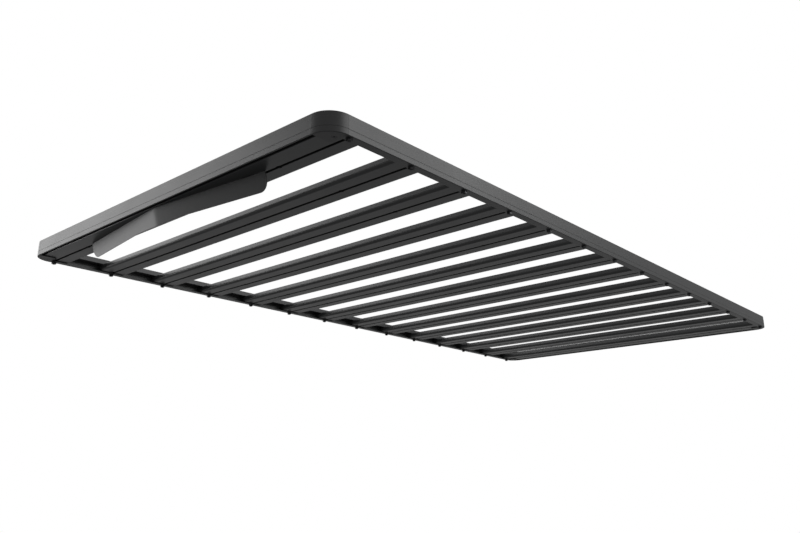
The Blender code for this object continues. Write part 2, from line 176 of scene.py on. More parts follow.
add_node(coat_skin, "NodeGroupOutput",
         {"Peel": peel.outputs["Fac"], "Patches": patches.outputs["Fac"],
          "Dust": number(coat_skin, "MULTIPLY", lying, settled)})

# The extrusion die's lines, which keep their place across the section all along a length.
die_lines = new_texture_group("die_lines", ["Along X", "Along Y"], {"Lines": "Float"})
asked = add_node(die_lines, "NodeGroupInput").outputs
place = add_node(die_lines, "ShaderNodeTexCoord").outputs["Object"]
x, y, z = add_node(die_lines, "ShaderNodeSeparateXYZ", {0: place}).outputs
stretched = add_node(die_lines, "ShaderNodeCombineXYZ",
                     {"X": number(die_lines, "MULTIPLY", x, asked["Along X"]),
                      "Y": number(die_lines, "MULTIPLY", y, asked["Along Y"]), "Z": z})
line_noise = add_node(die_lines, "ShaderNodeTexNoise",
                      {"Vector": stretched.outputs[0], "Scale": 700, "Detail": 2})
add_node(die_lines, "NodeGroupOutput", {"Lines": line_noise.outputs["Fac"]})


def coated_metal(name, thick, thin, roughness, runs=None, peel_height=0.05 * MM):
    """Powder coat of two close colours. runs is the axis that an extrusion's lines follow."""
    material = bpy.data.materials.new(name)
    material.use_nodes = True
    tree = material.node_tree
    shader = tree.nodes["Principled BSDF"]
    skin = add_node(tree, "ShaderNodeGroup", node_tree=coat_skin)
    skin.inputs["Peel Per Metre"].default_value = 520
    skin.inputs["Patches Per Metre"].default_value = 5
    coat = add_node(tree, "ShaderNodeMix", {"Factor": skin.outputs["Patches"]}, data_type="RGBA")
    coat.inputs[6].default_value, coat.inputs[7].default_value = (*thick, 1), (*thin, 1)
    dusty = add_node(tree, "ShaderNodeMix",
                     {"Factor": number(tree, "MULTIPLY", skin.outputs["Dust"], 0.3),
                      6: coat.outputs[2], 7: (0.12, 0.115, 0.105, 1)}, data_type="RGBA")
    tree.links.new(dusty.outputs[2], shader.inputs["Base Color"])
    sheen = add_node(tree, "ShaderNodeMapRange",
                     {"Value": skin.outputs["Patches"], "From Min": 0.3, "From Max": 0.7,
                      "To Min": roughness - 0.03, "To Max": roughness + 0.03}).outputs["Result"]
    dulled = number(tree, "MULTIPLY", skin.outputs["Dust"], 0.25)
    tree.links.new(number(tree, "ADD", sheen, dulled), shader.inputs["Roughness"])
    relief = skin.outputs["Peel"]
    if runs:
        lines = add_node(tree, "ShaderNodeGroup", node_tree=die_lines)
        lines.inputs["Along X"].default_value = 0 if runs == "X" else 1
        lines.inputs["Along Y"].default_value = 0 if runs == "Y" else 1
        faint = number(tree, "MULTIPLY", lines.outputs["Lines"], 0.6)
        relief = number(tree, "ADD", relief, faint)
    bump = add_node(tree, "ShaderNodeBump",
                    {"Height": relief, "Strength": 0.5, "Distance": peel_height})
    tree.links.new(bump.outputs["Normal"], shader.inputs["Normal"])
    return material


side_rail_coat = coated_metal("side_rail_coat", (0.030, 0.031, 0.032), (0.038, 0.039, 0.040),
                              0.36, runs="Y")
end_rail_coat = coated_metal("end_rail_coat", (0.030, 0.031, 0.032), (0.038, 0.039, 0.040),
                             0.36, runs="X")


def rounded(corners):
    """The outline through corners (right, up, radius), each turned on an arc of its radius."""
    outline = []
    for i, (*corner, radius) in enumerate(corners):
        corner = Vector(corner)
        back = (Vector(corners[i - 1][:2]) - corner).normalized()
        on = (Vector(corners[(i + 1) % len(corners)][:2]) - corner).normalized()
        half_angle = back.angle(on) / 2
        middle = corner + (back + on).normalized() * radius / sin(half_angle)
        first = corner + back * radius / tan(half_angle) - middle
        turn = first.angle_signed(corner + on * radius / tan(half_angle) - middle)
        steps = max(2, ceil(abs(turn) / radians(15)))
        outline += [middle + Matrix.Rotation(-turn * k / steps, 2) @ first
                    for k in range(steps + 1)]
    return outline


def guide(name, points, closed=False):
    """A curve that a tree reads, as a path or as a section."""
    line = bpy.data.curves.new(name, "CURVE")
    line.dimensions = "3D"
    spline = line.splines.new("POLY")
    spline.points.add(len(points) - 1)
    for point, place in zip(spline.points, points):
        point.co = (*place, 1)
    spline.use_cyclic_u = closed
    piece = bpy.data.objects.new(name, line)
    bpy.context.scene.collection.objects.link(piece)
    return piece


def section(name, corners):
    """A closed section, its corners in mm to the right of the path and above it."""
    return guide(name, [(right * MM, -up * MM, 0) for right, up in rounded(corners)], closed=True)


def new_tree(name, inputs):
    """A geometry tree with named inputs, and the sockets that hand them over."""
    tree = bpy.data.node_groups.new(name, "GeometryNodeTree")
    for label, kind in inputs.items():
        tree.interface.new_socket(name=label, in_out="INPUT", socket_type="NodeSocket" + kind)
    tree.interface.new_socket(name="Geometry", in_out="OUTPUT",
                              socket_type="NodeSocketGeometry")
    return tree, add_node(tree, "NodeGroupInput").outputs


def hand_out(tree, geometry, material):
    """The end of a tree: real meshes in one material."""
    real = add_node(tree, "GeometryNodeRealizeInstances", {0: geometry})
    painted = add_node(tree, "GeometryNodeSetMaterial",
                       {"Geometry": real.outputs[0], "Material": material})
    add_node(tree, "NodeGroupOutput", {0: painted.outputs[0]})


def swept(tree, path, profile):
    """The section object swept along a path's geometry, with its ends closed."""
    shape = add_node(tree, "GeometryNodeObjectInfo", {"Object": profile})
    return add_node(tree, "GeometryNodeCurveToMesh",
                    {"Curve": path, "Profile Curve": shape.outputs["Geometry"],
                     "Fill Caps": True}).outputs[0]


def drilled(tree, body, points, radius, depth):
    """The body less an upright hole at each point."""
    drill = add_node(tree, "GeometryNodeMeshCylinder",
                     {"Vertices": 32, "Radius": radius, "Depth": depth})
    drills = add_node(tree, "GeometryNodeInstanceOnPoints",
                      {"Points": points, "Instance": drill.outputs["Mesh"]})
    cut = add_node(tree, "GeometryNodeMeshBoolean", {0: body}, operation="DIFFERENCE")
    real = add_node(tree, "GeometryNodeRealizeInstances", {0: drills.outputs[0]})
    tree.links.new(real.outputs[0], cut.inputs[1])
    return cut.outputs[0]


def settle(piece, sharp=25):
    """Its modifiers turned into plain mesh, faces outwards, and edges over an angle left sharp."""
    bpy.context.view_layer.update()
    graph = bpy.context.evaluated_depsgraph_get()
    mesh = bpy.data.meshes.new_from_object(piece.evaluated_get(graph))
    piece.modifiers.clear()
    piece.data = mesh
    shell = bmesh.new()
    shell.from_mesh(mesh)
    bmesh.ops.remove_doubles(shell, verts=shell.verts, dist=0.002 * MM)
    bmesh.ops.recalc_face_normals(shell, faces=shell.faces)
    shell.to_mesh(mesh)
    shell.free()
    mesh.shade_smooth()
    mesh.set_sharp_from_angle(angle=radians(sharp))
    return piece


def grow(name, tree, sizes, bevel=0):
    """A piece made by a tree, with a value for each of its inputs, and its sawn ends eased."""
    piece = bpy.data.objects.new(name, bpy.data.meshes.new(name))
    bpy.context.scene.collection.objects.link(piece)
    grower = piece.modifiers.new("grow", "NODES")
    grower.node_group = tree
    for item in tree.interface.items_tree:
        if item.in_out == "INPUT":
            grower[item.identifier] = sizes[item.name]
    if bevel:
        ease = piece.modifiers.new("ease", "BEVEL")
        ease.width, ease.segments = bevel, 2
        ease.limit_method, ease.angle_limit = "ANGLE", radians(50)
    return settle(piece)


def finish_piece(piece, slot_name, *nodes):
    """Its flat faces shaded flat, then handed over in place of the plain nodes."""
    weigh = piece.modifiers.new("weigh", "WEIGHTED_NORMAL")
    weigh.weight, weigh.keep_sharp = 100, True
    bpy.context.view_layer.update()
    graph = bpy.context.evaluated_depsgraph_get()
    mesh = bpy.data.meshes.new_from_object(piece.evaluated_get(graph))
    piece.modifiers.clear()
    piece.data = mesh
    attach(piece, "root")
    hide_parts(*nodes)


rail_wall, rail_height, foot_thickness, foot_width = 3.5, 50, 2.5, 22.5
ledge_width, ledge_bottom, ledge_top = 35.5, 23.6, 39
sawn_edge = 0.2 * MM


def rail_corners(foot):
    """A rail's section, from its bottom edge up the outer face: (inwards, height, radius), mm."""
    outer_face = [(0, 0, 2), (0, 12.8, 0.3), (0.5, 13.3, 0.25), (0.5, 14.9, 0.25),
                  (0, 15.4, 0.3), (0, 36.7, 0.3), (0.4, 37.1, 0.3), (0.4, rail_height, 1.4)]
    ledge = [(rail_wall, rail_height, 0.5), (rail_wall, ledge_top, 1), (ledge_width, ledge_top, 1),
             (ledge_width, ledge_bottom, 0.8), (rail_wall, ledge_bottom, 0.6)]
    lower = [(rail_wall, foot_thickness, 0.8), (foot, foot_thickness, 0.7), (foot, 0, 0.7)]
    return outer_face + ledge + (lower if foot else [(rail_wall, 0, 0.5)])


footed_section = section("footed_rail_section", rail_corners(foot_width))
plain_section = section("plain_rail_section", rail_corners(0))

rail_tree, asked = new_tree("rail_length", {
    "Section": "Object", "Start": "Vector", "End": "Vector", "First Hole": "Vector",
    "Hole Pitch": "Vector", "Hole Count": "Int", "Hole Radius": "Float", "Material": "Material"})
line = add_node(rail_tree, "GeometryNodeCurvePrimitiveLine",
                {"Start": asked["Start"], "End": asked["End"]})
holes = add_node(rail_tree, "GeometryNodeMeshLine",
                 {"Count": asked["Hole Count"], "Start Location": asked["First Hole"],
                  "Offset": asked["Hole Pitch"]})
length = swept(rail_tree, line.outputs[0], asked["Section"])
hand_out(rail_tree, drilled(rail_tree, length, holes.outputs[0], asked["Hole Radius"],
                            4 * foot_thickness * MM), asked["Material"])

# The slats' bolt channels give the places of the holes in the side rails' feet.
slat_names = sorted(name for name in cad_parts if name.startswith("slat_")
                    and "bolt" not in name)
slat_half_width = 47
first_inner_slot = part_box(slat_names[1])[1].y - slat_half_width * MM
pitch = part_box(slat_names[2])[1].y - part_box(slat_names[1])[1].y
slots = [first_inner_slot + (i - 1) * pitch for i in range(len(slat_names))]
bolt_x = sum(corner.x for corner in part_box("slat_bolt_05_right")) / 2

for hand, side in (("left", -1), ("right", 1)):
    name = f"side_rail_{hand}"
    low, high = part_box(name)
    outer = high.x if side > 0 else low.x
    start, end = (high.y, low.y) if side > 0 else (low.y, high.y)
    rail = grow(f"{hand}_side_rail", rail_tree, {
        "Section": footed_section, "Start": (outer, start, 0), "End": (outer, end, 0),
        "First Hole": (side * bolt_x, slots[0], 0), "Hole Pitch": (0, pitch, 0),
        "Hole Count": len(slots), "Hole Radius": 4.5 * MM, "Material": side_rail_coat},
        bevel=sawn_edge)
    finish_piece(rail, "rail_coat", name)

# The end rails have no bolt holes, so their one drill stands clear of them, a metre up.
for name, end in (("front_rail", -1), ("rear_rail", 1)):
    low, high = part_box(name)
    outer = high.y if end > 0 else low.y
    start, stop = (low.x, high.x) if end > 0 else (high.x, low.x)
    rail = grow(f"{name}_length", rail_tree, {
        "Section": plain_section, "Start": (start, outer, 0), "End": (stop, outer, 0),
        "First Hole": (0, 0, 1), "Hole Pitch": (0, 0, 0), "Hole Count": 1,
        "Hole Radius": 1 * MM, "Material": end_rail_coat}, bevel=sawn_edge)
    finish_piece(rail, "rail_coat", name)


# Corners. Each is a cast aluminium piece with the rails' section turned through a right angle,
# and a wide foot that fills the bend. It plugs into both rails and takes one countersunk screw
# from below.
corner_coat = coated_metal("corner_coat", (0.026, 0.026, 0.027), (0.032, 0.032, 0.033), 0.42,
                           peel_height=0.07 * MM)
bend_radius = 56
screw_low, screw_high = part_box("corner_screw_front_right")
screw_place, head_radius = (screw_low + screw_high) / 2, (screw_high.x - screw_low.x) / 2

turn_tree, asked = new_tree("corner_turn", {
    "Section": "Object", "Bend Radius": "Float", "Place": "Vector", "Hole": "Vector",
    "Hole Radius": "Float", "Sink Radius": "Float", "Material": "Material"})
arc = add_node(turn_tree, "GeometryNodeCurveArc",
               {"Resolution": 33, "Radius": asked["Bend Radius"], "Start Angle": 0,
                "Sweep Angle": pi / 2})
turned = add_node(turn_tree, "GeometryNodeTransform",
                  {"Geometry": arc.outputs["Curve"], "Translation": asked["Place"],
                   "Rotation": (0, 0, -pi / 2)})
clockwise = add_node(turn_tree, "GeometryNodeReverseCurve", {0: turned.outputs[0]})
bend = swept(turn_tree, clockwise.outputs[0], asked["Section"])
spot = add_node(turn_tree, "GeometryNodePoints", {"Count": 1, "Position": asked["Hole"]})
bored = drilled(turn_tree, bend, spot.outputs[0], asked["Hole Radius"], 40 * MM)
hand_out(turn_tree, drilled(turn_tree, bored, spot.outputs[0], asked["Sink Radius"], 7 * MM),
         asked["Material"])

corner_section = section("corner_section", rail_corners(bend_radius - 3))
front_right = grow("corner_front_right_cast", turn_tree, {
    "Section": corner_section, "Bend Radius": bend_radius * MM,
    "Place": (cad_high.x - bend_radius * MM, cad_low.y + bend_radius * MM, 0),
    "Hole": (screw_place.x, screw_place.y, 0), "Hole Radius": 3.4 * MM,
    "Sink Radius": head_radius + 0.4 * MM, "Material": corner_coat}, bevel=sawn_edge)


def mirrored_copy(piece, name, x, y):
    """Another object with the piece's mesh mirrored across the platform's middle planes."""
    mesh = piece.data.copy()
    mesh.transform(Matrix.Diagonal((x, y, 1, 1)))
    if x * y < 0:
        mesh.flip_normals()
    copy = bpy.data.objects.new(name, mesh)
    bpy.context.scene.collection.objects.link(copy)
    return copy


for end, y_side in (("front", 1), ("rear", -1)):
    for hand, x_side in (("right", 1), ("left", -1)):
        cast = front_right if x_side == y_side == 1 else mirrored_copy(
            front_right, f"corner_{end}_{hand}_cast", x_side, y_side)
        finish_piece(cast, "corner_coat", f"corner_{end}_{hand}")


# Slats. Fourteen hollow extruded planks cross the platform. Each has a bolt channel along its
# underside with a round entry near each end, and shallow grip grooves on top. The two outermost
# are wider, tuck under the end rails and are cut off at the corners.
slat_coat = coated_metal("slat_coat", (0.024, 0.025, 0.026), (0.031, 0.032, 0.033), 0.32,
                         runs="X")
slat_height, slot_lip, channel_top = 20.5, 2.5, 9
heel_radius, end_slat_reach, end_slat_radius = 9, 53.5, 1.5
entry_reach, entry_radius, entry_depth = 465, 6.75, 14


def slat_corners(ahead, nose_radius):
    """A slat's section: (ahead of its slot, height, radius), mm."""
    behind, mouth, channel = -slat_half_width, 4.25, 7.25
    lower = [(ahead, 0, nose_radius), (mouth, 0, 0.4), (mouth, slot_lip, 0.3),
             (channel, slot_lip, 0.3), (channel, channel_top, 0.6), (-channel, channel_top, 0.6),
             (-channel, slot_lip, 0.3), (-mouth, slot_lip, 0.3), (-mouth, 0, 0.4),
             (behind, 0, heel_radius)]
    top = [(behind, slat_height, 3)]
    for middle in (-36, -26, -16, 0, 16, 26, 36):
        half_width, depth = (4.5, 2.4) if middle == 0 else (1.5, 1.2)
        top += [(middle - half_width, slat_height, 0.4),
                (middle - half_width, slat_height - depth, 0.3),
                (middle + half_width, slat_height - depth, 0.3),
                (middle + half_width, slat_height, 0.4)]
    return lower + top + [(ahead, slat_height, 3)]


slat_tree, asked = new_tree("slat_row", {
    "Section": "Object", "Half Length": "Float", "First Slot": "Vector", "Pitch": "Vector",
    "Count": "Int", "Entry Reach": "Float", "Entry Radius": "Float", "Entry Depth": "Float",
    "Material": "Material"})
left_end = number(slat_tree, "MULTIPLY", asked["Half Length"], -1)
left_entry = number(slat_tree, "MULTIPLY", asked["Entry Reach"], -1)
entry_gap = number(slat_tree, "MULTIPLY", asked["Entry Reach"], 2)
plank_line = add_node(slat_tree, "GeometryNodeCurvePrimitiveLine", {
    "Start": add_node(slat_tree, "ShaderNodeCombineXYZ", {"X": left_end}).outputs[0],
    "End": add_node(slat_tree, "ShaderNodeCombineXYZ", {"X": asked["Half Length"]}).outputs[0]})
entries = add_node(slat_tree, "GeometryNodeMeshLine", {
    "Count": 2,
    "Start Location": add_node(slat_tree, "ShaderNodeCombineXYZ", {"X": left_entry}).outputs[0],
    "Offset": add_node(slat_tree, "ShaderNodeCombineXYZ", {"X": entry_gap}).outputs[0]})
plank = drilled(slat_tree, swept(slat_tree, plank_line.outputs[0], asked["Section"]),
                entries.outputs[0], asked["Entry Radius"], asked["Entry Depth"])
row = add_node(slat_tree, "GeometryNodeMeshLine",
               {"Count": asked["Count"], "Start Location": asked["First Slot"],
                "Offset": asked["Pitch"]})
planks = add_node(slat_tree, "GeometryNodeInstanceOnPoints",
                  {"Points": row.outputs[0], "Instance": plank})
hand_out(slat_tree, planks.outputs[0], asked["Material"])

slat_low, slat_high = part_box(slat_names[1])
slat_sizes = {
    "Half Length": slat_high.x, "Pitch": (0, pitch, 0), "Entry Reach": entry_reach * MM,
    "Entry Radius": entry_radius * MM, "Entry Depth": entry_depth * MM, "Material": slat_coat}
inner_section = section("inner_slat_section", slat_corners(slat_half_width, heel_radius))
inner_slats = grow("inner_slats", slat_tree, {
    **slat_sizes, "Section": inner_section, "First Slot": (0, slots[1], slat_low.z),
    "Count": len(slots) - 2})
finish_piece(inner_slats, "slat_coat", *slat_names[1:-1])

end_section = section("end_slat_section", slat_corners(end_slat_reach, end_slat_radius))
front_slat = grow("front_slat", slat_tree, {
    **slat_sizes, "Section": end_section, "First Slot": (0, slots[0], slat_low.z), "Count": 1})
# Its outer corners are cut off straight, clear of the corner pieces, and the cuts are closed.
cut = bmesh.new()
cut.from_mesh(front_slat.data)
for side in (-1, 1):
    inner = Vector((side * (cad_high.x - 25 * MM), cad_low.y + 14 * MM, 0))
    outer = Vector((side * (cad_high.x - 4 * MM), cad_low.y + 52 * MM, 0))
    along = outer - inner
    away = Vector((side * along.y, -side * along.x, 0))
    sliced = bmesh.ops.bisect_plane(cut, geom=[*cut.verts, *cut.edges, *cut.faces],
                                    plane_co=inner, plane_no=away, clear_outer=True,
                                    dist=0.001 * MM)
    rim = [item for item in sliced["geom_cut"] if isinstance(item, bmesh.types.BMEdge)]
    bmesh.ops.holes_fill(cut, edges=rim, sides=0)
bmesh.ops.recalc_face_normals(cut, faces=cut.faces)
cut.to_mesh(front_slat.data)
cut.free()
rear_slat = mirrored_copy(front_slat, "rear_slat", 1, -1)
finish_piece(front_slat, "slat_coat", slat_names[0])
finish_piece(rear_slat, "slat_coat", slat_names[-1])


# Bolts. An M8 bolt hangs by its hex head in each end of every slat's channel and passes through
# the side rail's foot, with a washer and a nut below. Three more hold the wind deflector's tabs.
# They are steel, chemically blackened and lightly oiled.
def blackened_steel(name, colour, roughness):
    """Bare steel, stained unevenly and with faint tool marks."""
    material = bpy.data.materials.new(name)
    material.use_nodes = True
    tree = material.node_tree
    shader = tree.nodes["Principled BSDF"]
    shader.inputs["Metallic"].default_value = 1
    place = add_node(tree, "ShaderNodeTexCoord").outputs["Object"]
    stain = add_node(tree, "ShaderNodeTexNoise", {"Vector": place, "Scale": 160, "Detail": 4})
    tone = add_node(tree, "ShaderNodeMix", {"Factor": stain.outputs["Fac"], 6: (*colour, 1),
                                            7: (*(1.8 * c for c in colour), 1)},
                    data_type="RGBA")
    tree.links.new(tone.outputs[2], shader.inputs["Base Color"])
    dull = add_node(tree, "ShaderNodeMapRange",
                    {"Value": stain.outputs["Fac"], "To Min": roughness,
                     "To Max": roughness + 0.2})
    tree.links.new(dull.outputs[0], shader.inputs["Roughness"])
    tooling = add_node(tree, "ShaderNodeTexNoise", {"Vector": place, "Scale": 1900, "Detail": 1})
    bump = add_node(tree, "ShaderNodeBump", {"Height": tooling.outputs["Fac"], "Strength": 0.3,
                                             "Distance": 0.02 * MM})
    tree.links.new(bump.outputs[0], shader.inputs["Normal"])
    return material


bolt_black = blackened_steel("bolt_black", (0.045, 0.045, 0.047), 0.28)

bolt_tree, asked = new_tree("hung_bolts", {
    "Points X": "Int", "Points Y": "Int", "Spread X": "Float", "Spread Y": "Float",
    "Middle": "Vector", "Across Corners": "Float", "Head Bottom": "Float",
    "Head Height": "Float", "Shank Radius": "Float", "Washer Radius": "Float",
    "Washer Top": "Float", "Washer Thickness": "Float", "Nut Height": "Float",
    "Thread Pitch": "Float", "Seed": "Int", "Material": "Material"})


def lifted(tree, geometry, height):
    """Geometry raised so that its own zero stands at a height."""
    up = add_node(tree, "ShaderNodeCombineXYZ", {"Z": height}).outputs[0]
    return add_node(tree, "GeometryNodeTransform",
                    {"Geometry": geometry, "Translation": up}).outputs[0]


def hexagon(tree, across_corners, height, low_chamfered, high_chamfered):
    """A hex block from zero up to its height, with its corners turned off at 30 degrees."""
    radius = number(tree, "MULTIPLY", across_corners, 0.5)
    flat_radius = number(tree, "MULTIPLY", radius, 0.85)
    wide_radius = number(tree, "ADD", flat_radius, number(tree, "MULTIPLY", height, 1.8))
    prism = add_node(tree, "GeometryNodeMeshCylinder",
                     {"Vertices": 6, "Radius": radius, "Depth": height}).outputs["Mesh"]
    block = lifted(tree, prism, number(tree, "MULTIPLY", height, 0.5))
    for chamfered, top, bottom in ((low_chamfered, wide_radius, flat_radius),
                                   (high_chamfered, flat_radius, wide_radius)):
        if chamfered:
            cone = add_node(tree, "GeometryNodeMeshCone",
                            {"Vertices": 48, "Radius Top": top, "Radius Bottom": bottom,
                             "Depth": height}).outputs["Mesh"]
            both = add_node(tree, "GeometryNodeMeshBoolean", operation="INTERSECT",
                            solver="EXACT")
            tree.links.new(cone, both.inputs[1])
            tree.links.new(block, both.inputs[1])
            block = both.outputs[0]
    return block


# Heads, nuts, and cores with a ridge for each turn of the thread.
nut_top = number(bolt_tree, "SUBTRACT", asked["Washer Top"], asked["Washer Thickness"])
nut_bottom = number(bolt_tree, "SUBTRACT", nut_top, asked["Nut Height"])
head = lifted(bolt_tree, hexagon(bolt_tree, asked["Across Corners"], asked["Head Height"],
                                 False, True), asked["Head Bottom"])
nut = lifted(bolt_tree, hexagon(bolt_tree, asked["Across Corners"], asked["Nut Height"],
                                True, True), nut_bottom)

core_radius = number(bolt_tree, "MULTIPLY", asked["Shank Radius"], 0.86)
tip = number(bolt_tree, "SUBTRACT", nut_bottom, asked["Thread Pitch"])
core_length = number(bolt_tree, "SUBTRACT", asked["Head Bottom"], tip)
core = add_node(bolt_tree, "GeometryNodeMeshCylinder",
                {"Vertices": 24, "Radius": core_radius, "Depth": core_length}).outputs["Mesh"]
core = lifted(bolt_tree, core, number(bolt_tree, "ADD", tip,
                                      number(bolt_tree, "MULTIPLY", core_length, 0.5)))
ridge_path = add_node(bolt_tree, "GeometryNodeCurvePrimitiveCircle",
                      {"Resolution": 24, "Radius": core_radius})
ridge_form = add_node(bolt_tree, "GeometryNodeCurvePrimitiveCircle",
                      {"Resolution": 3, "Radius": number(bolt_tree, "SUBTRACT",
                                                         asked["Shank Radius"], core_radius)})
ridge = add_node(bolt_tree, "GeometryNodeCurveToMesh",
                 {"Curve": ridge_path.outputs["Curve"],
                  "Profile Curve": ridge_form.outputs["Curve"]})
ridge_start = add_node(bolt_tree, "ShaderNodeCombineXYZ", {
    "Z": number(bolt_tree, "ADD", tip, number(bolt_tree, "MULTIPLY", asked["Thread Pitch"], 0.6))})
ridge_step = add_node(bolt_tree, "ShaderNodeCombineXYZ", {"Z": asked["Thread Pitch"]})
ridge_line = add_node(bolt_tree, "GeometryNodeMeshLine",
                      {"Count": 12, "Start Location": ridge_start.outputs[0],
                       "Offset": ridge_step.outputs[0]})
thread = add_node(bolt_tree, "GeometryNodeInstanceOnPoints",
                  {"Points": ridge_line.outputs[0], "Instance": ridge.outputs[0]})

# Washers with rounded edges.
washer_width = number(bolt_tree, "SUBTRACT", asked["Washer Radius"], asked["Shank Radius"])
washer_path = add_node(bolt_tree, "GeometryNodeCurvePrimitiveCircle", {
    "Resolution": 40, "Radius": number(bolt_tree, "SUBTRACT", asked["Washer Radius"],
                                       number(bolt_tree, "MULTIPLY", washer_width, 0.5))})
washer_form = add_node(bolt_tree, "GeometryNodeCurvePrimitiveQuadrilateral",
                       {"Width": washer_width, "Height": asked["Washer Thickness"]})
washer_edge = add_node(bolt_tree, "GeometryNodeFilletCurve",
                       {"Curve": washer_form.outputs[0], "Radius": 0.3 * MM, "Count": 3},
                       mode="POLY")
washer = add_node(bolt_tree, "GeometryNodeCurveToMesh",
                  {"Curve": washer_path.outputs["Curve"],
                   "Profile Curve": washer_edge.outputs[0]}).outputs[0]
washer = lifted(bolt_tree, washer, number(
    bolt_tree, "ADD", nut_top, number(bolt_tree, "MULTIPLY", asked["Washer Thickness"], 0.5)))

# One bolt at each spot. Each washer and nut is turned by up to a sixth of a turn.
grid = add_node(bolt_tree, "GeometryNodeMeshGrid",
                {"Size X": asked["Spread X"], "Size Y": asked["Spread Y"],
                 "Vertices X": asked["Points X"], "Vertices Y": asked["Points Y"]})
spots = add_node(bolt_tree, "GeometryNodeTransform",
                 {"Geometry": grid.outputs["Mesh"], "Translation": asked["Middle"]}).outputs[0]
spin = add_node(bolt_tree, "FunctionNodeRandomValue", {"Seed": asked["Seed"]},
                data_type="FLOAT_VECTOR")
spin.inputs["Min"].default_value = (0, 0, 0)
spin.inputs["Max"].default_value = (0, 0, pi / 3)
join_still = add_node(bolt_tree, "GeometryNodeJoinGeometry")
for part in (thread.outputs[0], core, head):
    bolt_tree.links.new(part, join_still.inputs[0])
join_turned = add_node(bolt_tree, "GeometryNodeJoinGeometry")
for part in (washer, nut):
    bolt_tree.links.new(part, join_turned.inputs[0])
still = add_node(bolt_tree, "GeometryNodeInstanceOnPoints",
                 {"Points": spots, "Instance": join_still.outputs[0]})
turned = add_node(bolt_tree, "GeometryNodeInstanceOnPoints",
                  {"Points": spots, "Instance": join_turned.outputs[0],
                   "Rotation": spin.outputs["Value"]})
join_all = add_node(bolt_tree, "GeometryNodeJoinGeometry")
for part in (still.outputs[0], turned.outputs[0]):
    bolt_tree.links.new(part, join_all.inputs[0])
hand_out(bolt_tree, join_all.outputs[0], asked["Material"])

bolt_sizes = {
    "Across Corners": 13 * MM / cos(pi / 6), "Head Bottom": slat_low.z + (slot_lip + 0.3) * MM,
    "Head Height": 5.3 * MM, "Shank Radius": 3.95 * MM, "Washer Radius": 8 * MM,
    "Washer Top": -0.3 * MM, "Washer Thickness": 1.6 * MM, "Nut Height": 4.9 * MM,
    "Thread Pitch": 1.25 * MM, "Material": bolt_black}
slat_bolts = grow("slat_bolts", bolt_tree, {
    **bolt_sizes, "Points X": 2, "Points Y": len(slots), "Spread X": 2 * bolt_x,
    "Spread Y": slots[-1] - slots[0], "Middle": (0, (slots[0] + slots[-1]) / 2, 0), "Seed": 3})
finish_piece(slat_bolts, "fastener_steel",
             *[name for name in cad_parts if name.startswith("slat_bolt_")])

tab_bolt_x = sum(corner.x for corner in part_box("deflector_bolt_right")) / 2
tab_bolts = grow("deflector_bolts", bolt_tree, {
    **bolt_sizes, "Points X": 3, "Points Y": 1, "Spread X": 2 * tab_bolt_x, "Spread Y": 0.0,
    "Middle": (0, slots[0], 0), "Seed": 5})
finish_piece(tab_bolts, "fastener_steel",
             *[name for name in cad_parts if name.startswith("deflector_bolt_")])


# Corner screws. One countersunk steel screw with a hex socket holds each corner piece to the
# frame from below. The socket is pressed in, and the head sits just inside the foot.
screw_tree, asked = new_tree("corner_screws", {
    "Spread X": "Float", "Spread Y": "Float", "Bottom": "Float", "Head Radius": "Float",
    "Head Height": "Float", "Shank Radius": "Float", "Length": "Float",
    "Socket Radius": "Float", "Socket Depth": "Float", "Material": "Material"})
cone = add_node(screw_tree, "GeometryNodeMeshCone",
                {"Vertices": 40, "Radius Top": asked["Shank Radius"],
                 "Radius Bottom": asked["Head Radius"], "Depth": asked["Head Height"]})
shank_length = number(screw_tree, "SUBTRACT", asked["Length"], asked["Head Height"])
shank = add_node(screw_tree, "GeometryNodeMeshCylinder",
                 {"Vertices": 40, "Radius": asked["Shank Radius"], "Depth": shank_length})
shank = lifted(screw_tree, shank.outputs["Mesh"],
               number(screw_tree, "ADD", asked["Head Height"],
                      number(screw_tree, "MULTIPLY", shank_length, 0.5)))
socket = add_node(screw_tree, "GeometryNodeMeshCylinder",
                  {"Vertices": 6, "Radius": asked["Socket Radius"],
                   "Depth": number(screw_tree, "MULTIPLY", asked["Socket Depth"], 2)})
hollowed = add_node(screw_tree, "GeometryNodeMeshBoolean",
                    {0: cone.outputs["Mesh"]}, operation="DIFFERENCE")
screw_tree.links.new(socket.outputs["Mesh"], hollowed.inputs[1])
whole = add_node(screw_tree, "GeometryNodeJoinGeometry")
for part in (hollowed.outputs[0], shank):
    screw_tree.links.new(part, whole.inputs[0])
grid = add_node(screw_tree, "GeometryNodeMeshGrid",
                {"Size X": asked["Spread X"], "Size Y": asked["Spread Y"],
                 "Vertices X": 2, "Vertices Y": 2})
screws = add_node(screw_tree, "GeometryNodeInstanceOnPoints",
                  {"Points": lifted(screw_tree, grid.outputs["Mesh"], asked["Bottom"]),
                   "Instance": whole.outputs[0]})
hand_out(screw_tree, screws.outputs[0], asked["Material"])
corner_screws = grow("corner_screws", screw_tree, {
    "Spread X": 2 * screw_place.x, "Spread Y": -2 * screw_place.y, "Bottom": screw_low.z,
    "Head Radius": head_radius, "Head Height": 3 * MM,
    "Shank Radius": 3 * MM, "Length": screw_high.z - screw_low.z,
    "Socket Radius": 2.3 * MM, "Socket Depth": 2.2 * MM, "Material": bolt_black})
finish_piece(corner_screws, "fastener_steel",
             *[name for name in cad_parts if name.startswith("corner_screw_")])


